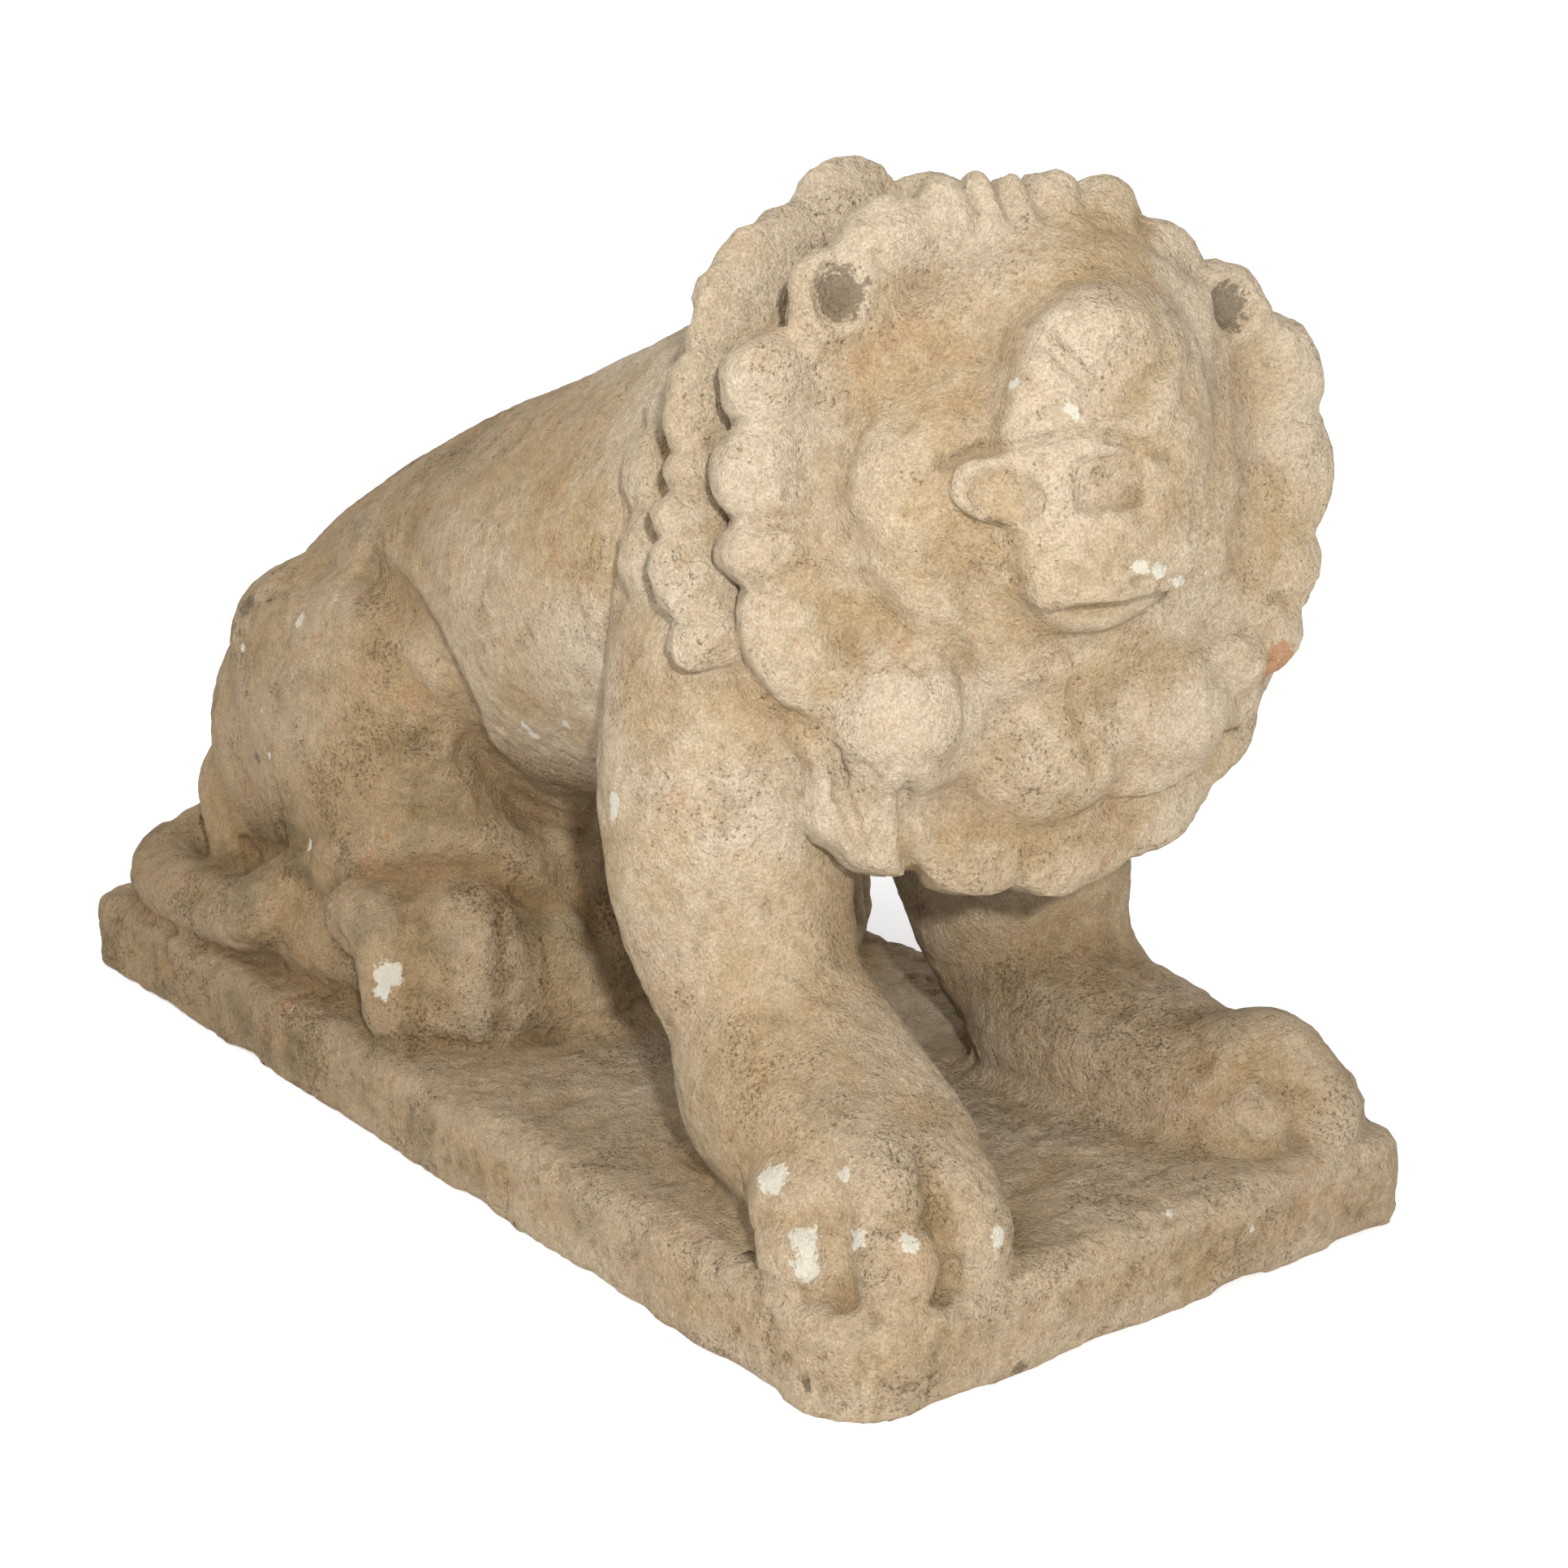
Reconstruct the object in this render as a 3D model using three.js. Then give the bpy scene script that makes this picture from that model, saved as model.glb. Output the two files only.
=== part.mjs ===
// Stone lion crouching on its slab, carved from one block.
// Every form is a distance to its surface, in mm. The forms are joined softly,
// one after another, on a fine grid. The skin of the result is then drawn as
// triangles and thinned out, the flat parts most.
// The lion faces -Y with its head turned to its right, which is -X. The slab
// stands on z = 0 and its centre is the origin.
import * as THREE from 'three';

// Sizes in mm and angles in degrees.
const SLAB = { width: 432, length: 962, height: 58, worn: 16, corners: { nearRight: 50, nearLeft: 22, back: 30 } };
const HEAD = { at: [0, -375, 448], turn: -18, nod: 4 };
const GRID = 6.5;
const TRIANGLES = 8800;

const sub = (a, b) => [a[0] - b[0], a[1] - b[1], a[2] - b[2]];
const add = (a, b, s = 1) => [a[0] + b[0] * s, a[1] + b[1] * s, a[2] + b[2] * s];
const dot = (a, b) => a[0] * b[0] + a[1] * b[1] + a[2] * b[2];
const cross = (a, b) => [a[1] * b[2] - a[2] * b[1], a[2] * b[0] - a[0] * b[2], a[0] * b[1] - a[1] * b[0]];
const unit = (a) => add([0, 0, 0], a, 1 / Math.hypot(...a));
const radians = (d) => d * Math.PI / 180;

// Three directions at right angles: side, up and front of something that faces
// the given way.
function facing(turn, nod) {
  const a = radians(turn);
  const p = radians(nod);
  const front = [Math.sin(a) * Math.cos(p), -Math.cos(a) * Math.cos(p), Math.sin(p)];
  const side = unit(cross([0, 0, 1], front));
  return [side, cross(front, side), front];
}

const LEVEL = [[1, 0, 0], [0, 1, 0], [0, 0, 1]];

// The same directions after turns about their own x, y and z.
function turned(frame, rx, ry, rz) {
  const e = new THREE.Matrix4().makeRotationFromEuler(
    new THREE.Euler(radians(rx), radians(ry), radians(rz), 'ZYX')).elements;
  return [0, 1, 2].map((i) => [0, 1, 2].reduce((sum, k) => add(sum, frame[k], e[4 * i + k]), [0, 0, 0]));
}

const FACE = facing(HEAD.turn, HEAD.nod);
const onFace = (u, v, w) => add(add(add(HEAD.at, FACE[0], u), FACE[1], v), FACE[2], w);

function soft(a, b, blend) {
  const h = Math.max(blend - Math.abs(a - b), 0) / blend;
  return Math.min(a, b) - h * h * blend / 4;
}

// The block of stone: distances on a grid.
class Block {
  constructor(low, high, step) {
    this.low = low;
    this.step = step;
    this.size = [0, 1, 2].map((i) => Math.ceil((high[i] - low[i]) / step) + 1);
    this.field = new Float32Array(this.size[0] * this.size[1] * this.size[2]).fill(1000);
  }

  index(i, j, k) {
    return (i * this.size[1] + j) * this.size[2] + k;
  }

  place(i, axis) {
    return this.low[axis] + i * this.step;
  }

  // The underside is one flat cut at z = 0.
  sawFlat() {
    this.field.forEach((d, n) => {
      this.field[n] = Math.max(d, -this.place(n % this.size[2], 2));
    });
  }

  merge(low, high, distance, blend, cut = false) {
    const pad = blend + 2 * this.step;
    const from = low.map((v, a) => Math.max(0, Math.floor((v - pad - this.low[a]) / this.step)));
    const to = high.map((v, a) => Math.min(this.size[a] - 1, Math.ceil((v + pad - this.low[a]) / this.step)));
    for (let i = from[0]; i <= to[0]; i++) {
      for (let j = from[1]; j <= to[1]; j++) {
        for (let k = from[2]; k <= to[2]; k++) {
          const n = this.index(i, j, k);
          const d = distance(this.place(i, 0), this.place(j, 1), this.place(k, 2));
          const old = this.field[n];
          this.field[n] = cut ? -soft(-old, d, blend) : soft(old, d, blend);
        }
      }
    }
  }
}

const reach = (frame, half) => [0, 1, 2].map((i) => (
  Math.abs(frame[0][i]) * half[0] + Math.abs(frame[1][i]) * half[1] + Math.abs(frame[2][i]) * half[2]));

function local(frame, at, x, y, z) {
  const d = [x - at[0], y - at[1], z - at[2]];
  return [dot(frame[0], d), dot(frame[1], d), dot(frame[2], d)];
}

// An egg with three half sizes.
function ball(block, at, half, { frame = LEVEL, blend = 10, cut = false } = {}) {
  const box = reach(frame, half);
  block.merge(sub(at, box), add(at, box), (x, y, z) => {
    const [u, v, w] = local(frame, at, x, y, z);
    const k0 = Math.hypot(u / half[0], v / half[1], w / half[2]);
    const k1 = Math.hypot(u / half[0] ** 2, v / half[1] ** 2, w / half[2] ** 2);
    return k0 * (k0 - 1) / Math.max(k1, 1e-9);
  }, blend, cut);
}

// A brick with rounded edges.
function brick(block, at, half, edge, { frame = LEVEL, blend = 10, cut = false } = {}) {
  const box = reach(frame, half);
  block.merge(sub(at, box), add(at, box), (x, y, z) => {
    const q = local(frame, at, x, y, z).map((v, i) => Math.abs(v) - half[i] + edge);
    const outside = Math.hypot(Math.max(q[0], 0), Math.max(q[1], 0), Math.max(q[2], 0));
    return outside + Math.min(Math.max(q[0], q[1], q[2]), 0) - edge;
  }, blend, cut);
}

// A thick oval leaf: half sizes across, out and through, thinner to its rim.
function leaf(block, at, frame, half, edge, blend, crown) {
  const box = reach(frame, half);
  block.merge(sub(at, box), add(at, box), (x, y, z) => {
    const [u, v, w] = local(frame, at, x, y, z);
    const k0 = Math.hypot(u / half[0], v / half[1]);
    const k1 = Math.hypot(u / half[0] ** 2, v / half[1] ** 2);
    const thick = half[2] * (1 - crown * Math.min(k0, 1.2) ** 2);
    const q0 = k0 * (k0 - 1) / Math.max(k1, 1e-9) + edge;
    const q1 = Math.abs(w) - thick + edge;
    return Math.hypot(Math.max(q0, 0), Math.max(q1, 0)) + Math.min(Math.max(q0, q1), 0) - edge;
  }, blend);
}

// Distance to the hull of two balls.
function hull(a, b, ra, rb) {
  const ba = sub(b, a);
  const l2 = dot(ba, ba);
  const rr = ra - rb;
  const a2 = Math.max(l2 - rr * rr, 1e-6);
  return (x, y, z) => {
    const p = [x - a[0], y - a[1], z - a[2]];
    const along = dot(p, ba);
    const past = along - l2;
    const v = [p[0] * l2 - ba[0] * along, p[1] * l2 - ba[1] * along, p[2] * l2 - ba[2] * along];
    const x2 = dot(v, v);
    const y2 = along * along * l2;
    const z2 = past * past * l2;
    const k = Math.sign(rr) * rr * rr * x2;
    if (Math.sign(past) * a2 * z2 > k) return Math.sqrt(x2 + z2) / l2 - rb;
    if (Math.sign(along) * a2 * y2 < k) return Math.sqrt(x2 + y2) / l2 - ra;
    return (Math.sqrt(x2 * a2 / l2) + along * rr) / l2 - ra;
  };
}

// A limb through balls [x, y, z, radius], with a smooth curve between them.
// It can be made wider along one direction.
function limb(block, balls, { blend = 20, wide = 1, along = [1, 0, 0] } = {}) {
  const rows = [];
  if (balls.length < 3) {
    rows.push(...balls);
  } else {
    const first = balls[0].map((v, i) => 2 * v - balls[1][i]);
    const last = balls.at(-1).map((v, i) => 2 * v - balls.at(-2)[i]);
    const all = [first, ...balls, last];
    for (let n = 1; n < all.length - 2; n++) {
      for (let s = 0; s < 1; s += 0.25) {
        rows.push(all[n].map((b, i) => {
          const [a, c, d] = [all[n - 1][i], all[n + 1][i], all[n + 2][i]];
          return 0.5 * (2 * b + (c - a) * s + (2 * a - 5 * b + 4 * c - d) * s * s
            + (3 * b - 3 * c + d - a) * s ** 3);
        }));
      }
    }
    rows.push(balls.at(-1));
  }
  const middle = [0, 1, 2].map((i) => rows.reduce((sum, r) => sum + r[i], 0) / rows.length);
  const narrow = (p) => add(p, along, dot(sub(p, middle), along) * (1 / wide - 1));
  const parts = [];
  for (let n = 1; n < rows.length; n++) {
    parts.push(hull(narrow(rows[n - 1].slice(0, 3)), narrow(rows[n].slice(0, 3)), rows[n - 1][3], rows[n][3]));
  }
  const grow = (wide - 1) * Math.max(...rows.map((r) => r[3] + Math.abs(dot(sub(r, middle), along))));
  const low = [0, 1, 2].map((i) => Math.min(...rows.map((r) => r[i] - r[3])) - grow * Math.abs(along[i]));
  const high = [0, 1, 2].map((i) => Math.max(...rows.map((r) => r[i] + r[3])) + grow * Math.abs(along[i]));
  block.merge(low, high, (x, y, z) => {
    const p = wide === 1 ? [x, y, z] : narrow([x, y, z]);
    let d = Infinity;
    for (const part of parts) d = Math.min(d, part(p[0], p[1], p[2]));
    return d;
  }, blend);
}

// The slab: worn top edges, and each corner rounded its own way.
function slab(block) {
  const { width, length, height, worn, corners } = SLAB;
  const half = [width / 2, length / 2];
  block.merge([-half[0], -half[1], 0], [half[0], half[1], height], (x, y, z) => {
    const round = y > 0 ? corners.back : (x < 0 ? corners.nearRight : corners.nearLeft);
    const qx = Math.abs(x) - half[0] + round;
    const qy = Math.abs(y) - half[1] + round;
    const side = Math.hypot(Math.max(qx, 0), Math.max(qy, 0)) + Math.min(Math.max(qx, qy), 0) - round;
    const s = side + worn;
    const t = z - height + worn;
    const upper = Math.hypot(Math.max(s, 0), Math.max(t, 0)) + Math.min(Math.max(s, t), 0) - worn;
    return Math.max(upper, -z);
  }, 0.01);
}

// Barrel of the body, low at the rump and high at the shoulders, and the stone
// that was left standing under the belly.
function body(block) {
  limb(block, [[0, 325, 205, 100], [0, 290, 248, 116], [0, 217, 283, 130], [0, 43, 336, 142],
    [0, -97, 363, 147], [0, -200, 380, 140]], { blend: 30, wide: 1.17 });
  ball(block, [0, 130, 140], [135, 165, 120], { blend: 40 });
  ball(block, [0, 60, 70], [110, 85, 60], { blend: 50 });
  ball(block, [0, -270, 320], [120, 100, 100], { blend: 40 });
}

// Folded hind leg: thigh, rump, hock, foot and four toes. s is -1 for the right.
function hindLeg(block, s) {
  ball(block, [s * 120, 205, 226], [80, 132, 112], { frame: turned(LEVEL, -12, 0, 0), blend: 8 });
  ball(block, [s * 98, 278, 210], [88, 95, 112], { blend: 20 });
  limb(block, [[s * 130, 320, 160, 50], [s * 145, 295, 80, 36]], { blend: 12 });
  limb(block, [[s * 148, 260, 85, 40], [s * 148, 150, 95, 47], [s * 138, 60, 110, 50]], { blend: 15 });
  ball(block, [s * 105, 85, 165], [62, 75, 50], { blend: 20 });
  const floor = SLAB.height;
  for (const [x, y, r, h] of [[178, 16, 29, 78], [141, -16, 31, 76], [101, -22, 26, 62], [68, -8, 22, 50]]) {
    limb(block, [[s * x, y + 50, floor + h, r * 0.95], [s * x, y + 12, floor + h * 0.9, r],
      [s * x, y, floor + r * 0.8, r]], { blend: 6 });
  }
}

// The tail comes round the back right corner, runs along the slab and lies over
// the hind foot.
function tail(block) {
  limb(block, [[-20, 415, 170, 30], [-100, 438, 110, 30], [-168, 425, 88, 28], [-187, 340, 82, 27],
    [-188, 240, 86, 26], [-176, 155, 122, 24], [-145, 90, 163, 22], [-112, 30, 174, 21],
    [-80, -25, 154, 20], [-55, -45, 120, 20], [-45, -40, 80, 20]], { blend: 7 });
}

function foreLegs(block) {
  limb(block, [[-100, -255, 420, 78], [-118, -262, 340, 78], [-125, -262, 270, 73], [-126, -268, 210, 66],
    [-125, -298, 155, 56], [-128, -330, 115, 53]], { blend: 14 });
  limb(block, [[100, -160, 400, 85], [118, -195, 280, 80], [123, -215, 190, 74], [130, -228, 130, 64],
    [145, -250, 90, 60]], { blend: 14 });
}

// A forepaw: its back from wrist to knuckles, then toes given by the place of
// their tips and their radius.
function paw(block, wrist, knuckles, thick, toes) {
  const floor = SLAB.height;
  limb(block, [[...wrist, thick[0]], [...knuckles, thick[1]]], { blend: 18 });
  for (const [x, y, r] of toes) {
    const tip = [x, y, floor + r * 0.5];
    const middle = [knuckles[0] * 0.45 + x * 0.55, knuckles[1] * 0.45 + y * 0.55, floor + r * 1.55];
    const root = [0, 1, 2].map((i) => (
      knuckles[i] * 0.8 + wrist[i] * 0.2 + (tip[i] - knuckles[i]) * [0.5, 0.2, 0][i]));
    limb(block, [[...root, r * 0.9], [...middle, r * 1.02], [...tip, r]], { blend: 8 });
  }
}

// The mane: three collars of overlapping locks. Each lock is [angle where it
// starts, how far it reaches], counted from the left side of the lion over the top.
const COLLARS = [
  { at: HEAD.at, turn: -18, nod: 4, thick: 26, locks: [[1, 181], [13, 177], [29, 160], [47, 156], [67, 165],
    [94, 169], [108, 174], [119, 179], [136, 172], [149, 186], [169, 187], [197, 188], [226, 187],
    [251, 179], [278, 183], [305, 180], [328, 187], [344, 183]] },
  { at: [0, -320, 415], turn: -12, nod: 14, thick: 30, locks: [[12, 175], [30, 175], [50, 175], [70, 185],
    [90, 205], [112, 197], [136, 188], [158, 182], [170, 184], [179, 190], [191, 176], [208, 176],
    [228, 200], [251, 207], [268, 207], [292, 214], [312, 224], [338, 195], [354, 185]] },
  { at: [0, -255, 395], turn: -8, nod: 23, thick: 30, locks: [[10, 180], [32, 180], [56, 178], [80, 176],
    [108, 184], [134, 170], [154, 166], [168, 168], [183, 164], [200, 165], [220, 170], [240, 175],
    [262, 180], [284, 180], [306, 180], [328, 180], [350, 180]] },
];
const LOCK = { length: 50, overlap: 1.3 };

function collar(block, { at, turn, nod, thick, locks }) {
  const frame = facing(turn, nod);
  const mean = locks.reduce((sum, l) => sum + l[1], 0) / locks.length;
  leaf(block, at, frame, [mean - 25, mean - 25, thick * 0.8], 10, 6, 0.25);
  locks.forEach(([start, far], n) => {
    const end = n + 1 < locks.length ? locks[n + 1][0] : locks[0][0] + 360;
    const angle = radians((start + end) / 2);
    const half = 0.5 * radians(end - start) * far;
    const out = add(add([0, 0, 0], frame[0], Math.cos(angle)), frame[1], Math.sin(angle));
    const across = add(add([0, 0, 0], frame[0], -Math.sin(angle)), frame[1], Math.cos(angle));
    leaf(block, add(at, out, far - LOCK.length), [across, out, frame[2]],
      [half * LOCK.overlap, LOCK.length, thick], 8, 3, 0.62);
  });
}

function mane(block) {
  limb(block, [[0, -100, 380, 130], [0, -200, 400, 145], [0, -300, 420, 140]], { blend: 20 });
  for (const c of [...COLLARS].reverse()) collar(block, c);
}

// The face: a broad dome in the ring of locks, worn eyes, an egg of a muzzle
// with its nose pad, the mouth with a broken corner and a square hollow, and
// big round locks of beard.
function face(block) {
  const frame = FACE;
  ball(block, onFace(0, 5, -30), [135, 132, 88], { frame, blend: 12 });
  for (const [u, v] of [[-117, 95], [109, 89]]) {
    ball(block, onFace(u, v, 34), [17, 20, 20], { frame, blend: 6, cut: true });
  }
  for (const u of [-60, 58]) ball(block, onFace(u, 78, 64), [34, 22, 18], { frame, blend: 20, cut: true });
  limb(block, [[...onFace(-3, 66, 52), 35], [...onFace(3, 20, 46), 61]], { blend: 14 });
  brick(block, onFace(0, -16, 45), [56, 50, 56], 26, { frame, blend: 14 });
  ball(block, onFace(-6, 74, 74), [34, 21, 24], { frame, blend: 4 });
  ball(block, onFace(-64, 0, 60), [32, 22, 34], { frame, blend: 12 });
  brick(block, onFace(-76, -1, 98), [19, 15, 14], 4, { frame: turned(frame, 0, -22, 38), blend: 3, cut: true });
  brick(block, onFace(-4, -6, 108), [20, 16, 10], 6, { frame, blend: 5, cut: true });
  ball(block, onFace(-3, -70, 30), [70, 30, 45], { frame, blend: 10 });
  for (const [u, v, a, b] of [[-88, -118, 42, 46], [-12, -145, 50, 42], [62, -125, 42, 38]]) {
    ball(block, onFace(u, v, 8), [a, b, 36], { frame, blend: 6 });
  }
  ball(block, onFace(105, -103, 20), [18, 18, 18], { frame, blend: 6 });
}

function carve() {
  const block = new Block([-240, -530, -30], [240, 520, 680], GRID);
  slab(block);
  body(block);
  hindLeg(block, -1);
  hindLeg(block, 1);
  tail(block);
  foreLegs(block);
  paw(block, [-126, -315, 108], [-143, -390, 90], [56, 48], [[-186, -416, 27], [-162, -451, 28], [-112, -452, 28]]);
  paw(block, [148, -270, 95], [158, -375, 86], [56, 47], [[128, -430, 27], [170, -450, 27], [190, -440, 23]]);
  mane(block);
  face(block);
  block.sawFlat();
  return block;
}

// Skin of the block. Each grid cell is six four-sided corners that share one
// long diagonal, so the skin closes everywhere.
function skin(block) {
  const [nx, ny, nz] = block.size;
  const places = [];
  const faces = [];
  const seen = new Map();
  const corner = (n) => [Math.floor(n / (ny * nz)), Math.floor(n / nz) % ny, n % nz];
  const point = (a, b) => {
    const key = a < b ? a * 40000000 + b : b * 40000000 + a;
    let n = seen.get(key);
    if (n === undefined) {
      const da = block.field[a];
      const db = block.field[b];
      const t = Math.min(0.97, Math.max(0.03, da / (da - db)));
      const pa = corner(a);
      const pb = corner(b);
      places.push(...[0, 1, 2].map((i) => block.low[i] + (pa[i] + (pb[i] - pa[i]) * t) * block.step));
      n = places.length / 3 - 1;
      seen.set(key, n);
    }
    return n;
  };
  const tri = (a, b, c) => faces.push(a, b, c);
  const steps = [[0, 1, 2], [0, 2, 1], [1, 0, 2], [1, 2, 0], [2, 0, 1], [2, 1, 0]];
  const jump = [ny * nz, nz, 1];
  for (let i = 0; i < nx - 1; i++) {
    for (let j = 0; j < ny - 1; j++) {
      for (let k = 0; k < nz - 1; k++) {
        const o = block.index(i, j, k);
        let inside = 0;
        for (let c = 0; c < 8; c++) {
          if (block.field[o + (c & 1) * jump[0] + ((c >> 1) & 1) * jump[1] + (c >> 2) * jump[2]] < 0) inside++;
        }
        if (inside === 0 || inside === 8) continue;
        steps.forEach((order, n) => {
          const t = [o, o + jump[order[0]], o + jump[order[0]] + jump[order[1]], o + jump[0] + jump[1] + jump[2]];
          if (n === 1 || n === 2 || n === 5) [t[1], t[2]] = [t[2], t[1]];
          const solid = t.map((p) => block.field[p] < 0);
          const count = solid.filter(Boolean).length;
          if (count === 0 || count === 4) return;
          if (count === 1 || count === 3) {
            const lone = solid.indexOf(count === 1);
            const ring = [[1, 2, 3], [0, 3, 2], [0, 1, 3], [0, 2, 1]][lone];
            const p = ring.map((r) => point(t[lone], t[r]));
            if (count === 1) tri(p[0], p[1], p[2]);
            else tri(p[0], p[2], p[1]);
          } else {
            const b = solid.indexOf(true);
            const c = solid.lastIndexOf(true);
            const [d, e] = [0, 1, 2, 3].filter((r) => !solid[r]);
            const even = [[0, 1], [0, 3], [1, 2], [2, 3]].some(([p, q]) => p === b && q === c);
            const q = [point(t[b], t[d]), point(t[b], t[e]), point(t[c], t[e]), point(t[c], t[d])];
            if (!even) q.reverse();
            tri(q[0], q[1], q[2]);
            tri(q[0], q[2], q[3]);
          }
        });
      }
    }
  }
  return { places: Float64Array.from(places), faces: Int32Array.from(faces) };
}

// Thin out: the edge whose loss changes the form least goes first. An edge
// stays when its loss would pinch the skin or turn a triangle over.
function thin({ places, faces }, target) {
  const count = places.length / 3;
  const of = Array.from({ length: count }, () => []);
  const quad = new Float64Array(count * 10);
  const alive = new Uint8Array(faces.length / 3).fill(1);
  const stamp = new Int32Array(count);
  const at = (v) => [places[3 * v], places[3 * v + 1], places[3 * v + 2]];
  for (let f = 0; f < alive.length; f++) {
    const [a, b, c] = [at(faces[3 * f]), at(faces[3 * f + 1]), at(faces[3 * f + 2])];
    const n = cross(sub(b, a), sub(c, a));
    const area = Math.hypot(...n);
    const [x, y, z] = area > 0 ? add([0, 0, 0], n, 1 / area) : [0, 0, 0];
    const d = -(x * a[0] + y * a[1] + z * a[2]);
    const q = [x * x, x * y, x * z, x * d, y * y, y * z, y * d, z * z, z * d, d * d];
    for (let e = 0; e < 3; e++) {
      const v = faces[3 * f + e];
      of[v].push(f);
      for (let i = 0; i < 10; i++) quad[10 * v + i] += q[i] * area;
    }
  }
  const error = (q, [x, y, z]) => q[0] * x * x + 2 * q[1] * x * y + 2 * q[2] * x * z + 2 * q[3] * x
    + q[4] * y * y + 2 * q[5] * y * z + 2 * q[6] * y + q[7] * z * z + 2 * q[8] * z + q[9];
  const best = (a, b) => {
    const q = new Float64Array(10);
    for (let i = 0; i < 10; i++) q[i] = quad[10 * a + i] + quad[10 * b + i];
    const pa = at(a);
    const pb = at(b);
    const mid = add(pa, sub(pb, pa), 0.5);
    const [m00, m01, m02, m11, m12, m22] = [q[0], q[1], q[2], q[4], q[5], q[7]];
    const c = cross([m01, m11, m12], [m02, m12, m22]);
    const det = m00 * c[0] + m01 * c[1] + m02 * c[2];
    const choices = [mid, pa, pb];
    const trace = m00 + m11 + m22;
    if (Math.abs(det) > 1e-5 * trace ** 3) {
      const r = [-q[3], -q[6], -q[8]];
      const c1 = cross([m02, m12, m22], [m00, m01, m02]);
      const c2 = cross([m00, m01, m02], [m01, m11, m12]);
      const p = [0, 1, 2].map((i) => (c[i] * r[0] + c1[i] * r[1] + c2[i] * r[2]) / det);
      if (Math.hypot(...sub(p, mid)) < 2 * Math.hypot(...sub(pa, pb))) choices.unshift(p);
    }
    let pick = null;
    for (const p of choices) {
      const e = error(q, p);
      if (!pick || e < pick.cost - 1e-9) pick = { cost: e, p };
    }
    pick.cost += 2e-4 * dot(sub(pa, pb), sub(pa, pb)) ** 1.5;
    return pick;
  };
  const heap = [];
  const up = (n) => {
    const item = heap[n];
    while (n > 0) {
      const p = (n - 1) >> 1;
      if (heap[p].cost <= item.cost) break;
      heap[n] = heap[p];
      n = p;
    }
    heap[n] = item;
  };
  const push = (a, b) => {
    const { cost, p } = best(a, b);
    heap.push({ cost, p, a, b, sa: stamp[a], sb: stamp[b] });
    up(heap.length - 1);
  };
  const pop = () => {
    const top = heap[0];
    const item = heap.pop();
    if (heap.length === 0) return top;
    let n = 0;
    for (;;) {
      let c = 2 * n + 1;
      if (c >= heap.length) break;
      if (c + 1 < heap.length && heap[c + 1].cost < heap[c].cost) c++;
      if (heap[c].cost >= item.cost) break;
      heap[n] = heap[c];
      n = c;
    }
    heap[n] = item;
    return top;
  };
  const around = (v) => {
    const near = new Set();
    for (const f of of[v]) for (let e = 0; e < 3; e++) near.add(faces[3 * f + e]);
    near.delete(v);
    return near;
  };
  for (let v = 0; v < count; v++) for (const w of around(v)) if (v < w) push(v, w);
  let left = alive.length;
  const upset = (v, other, p) => of[v].some((f) => {
    const ids = [faces[3 * f], faces[3 * f + 1], faces[3 * f + 2]];
    if (ids.includes(other)) return false;
    const old = ids.map(at);
    const now = ids.map((w, i) => (w === v ? p : old[i]));
    const n0 = cross(sub(old[1], old[0]), sub(old[2], old[0]));
    const n1 = cross(sub(now[1], now[0]), sub(now[2], now[0]));
    const long = Math.max(...[0, 1, 2].map((i) => Math.hypot(...sub(now[i], now[(i + 1) % 3]))));
    return dot(n0, n1) < 0.3 * Math.hypot(...n0) * Math.hypot(...n1) || Math.hypot(...n1) < 0.03 * long * long;
  });
  while (left > target && heap.length) {
    const { p, a, b, sa, sb } = pop();
    if (sa !== stamp[a] || sb !== stamp[b] || !of[a].length || !of[b].length) continue;
    const na = around(a);
    const nb = around(b);
    let shared = 0;
    for (const v of na) if (nb.has(v)) shared++;
    if (shared !== 2 || upset(a, b, p) || upset(b, a, p)) continue;
    for (const f of of[b]) {
      const ids = [faces[3 * f], faces[3 * f + 1], faces[3 * f + 2]];
      if (ids.includes(a)) {
        alive[f] = 0;
        left--;
        for (const v of ids) if (v !== b) of[v] = of[v].filter((g) => g !== f);
      } else {
        faces[3 * f + ids.indexOf(b)] = a;
        of[a].push(f);
      }
    }
    of[b] = [];
    places.set(p, 3 * a);
    for (let i = 0; i < 10; i++) quad[10 * a + i] += quad[10 * b + i];
    stamp[a]++;
    stamp[b]++;
    for (const v of around(a)) push(a, v);
  }
  const kept = [];
  for (let f = 0; f < alive.length; f++) if (alive[f]) kept.push(faces[3 * f], faces[3 * f + 1], faces[3 * f + 2]);
  return { places, faces: kept };
}

function mesh(block) {
  const { places, faces } = thin(skin(block), TRIANGLES);
  const number = new Map();
  const points = [];
  const index = faces.map((v) => {
    if (!number.has(v)) {
      number.set(v, points.length / 3);
      const z = places[3 * v + 2];
      points.push(places[3 * v], places[3 * v + 1], Math.abs(z) < 0.4 ? 0 : z);
    }
    return number.get(v);
  });
  const geometry = new THREE.BufferGeometry();
  geometry.setAttribute('position', new THREE.Float32BufferAttribute(points, 3));
  geometry.setIndex(index);
  geometry.computeVertexNormals();
  return geometry;
}

const stone = new THREE.MeshStandardMaterial({ color: 0xb7a88a, roughness: 0.95, metalness: 0 });
const lion = new THREE.Mesh(mesh(carve()), stone);
lion.name = 'lion_statue';
const statue = new THREE.Group();
statue.name = 'stone_lion';
statue.add(lion);

export default statue;
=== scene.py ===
"""Weathered stone lion crouching on its slab, carved from one block.

The stone is sculpted as a field of distances in mm: named forms are joined
softly one after another on a fine grid, and the skin of the result becomes
the mesh. Wear, grime and chips follow from the same field, and so does the
shade painted into its hollows. The lion faces -Y with its head turned to its
right, which is -X, and the slab stands on z = 0.
"""
import math

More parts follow.
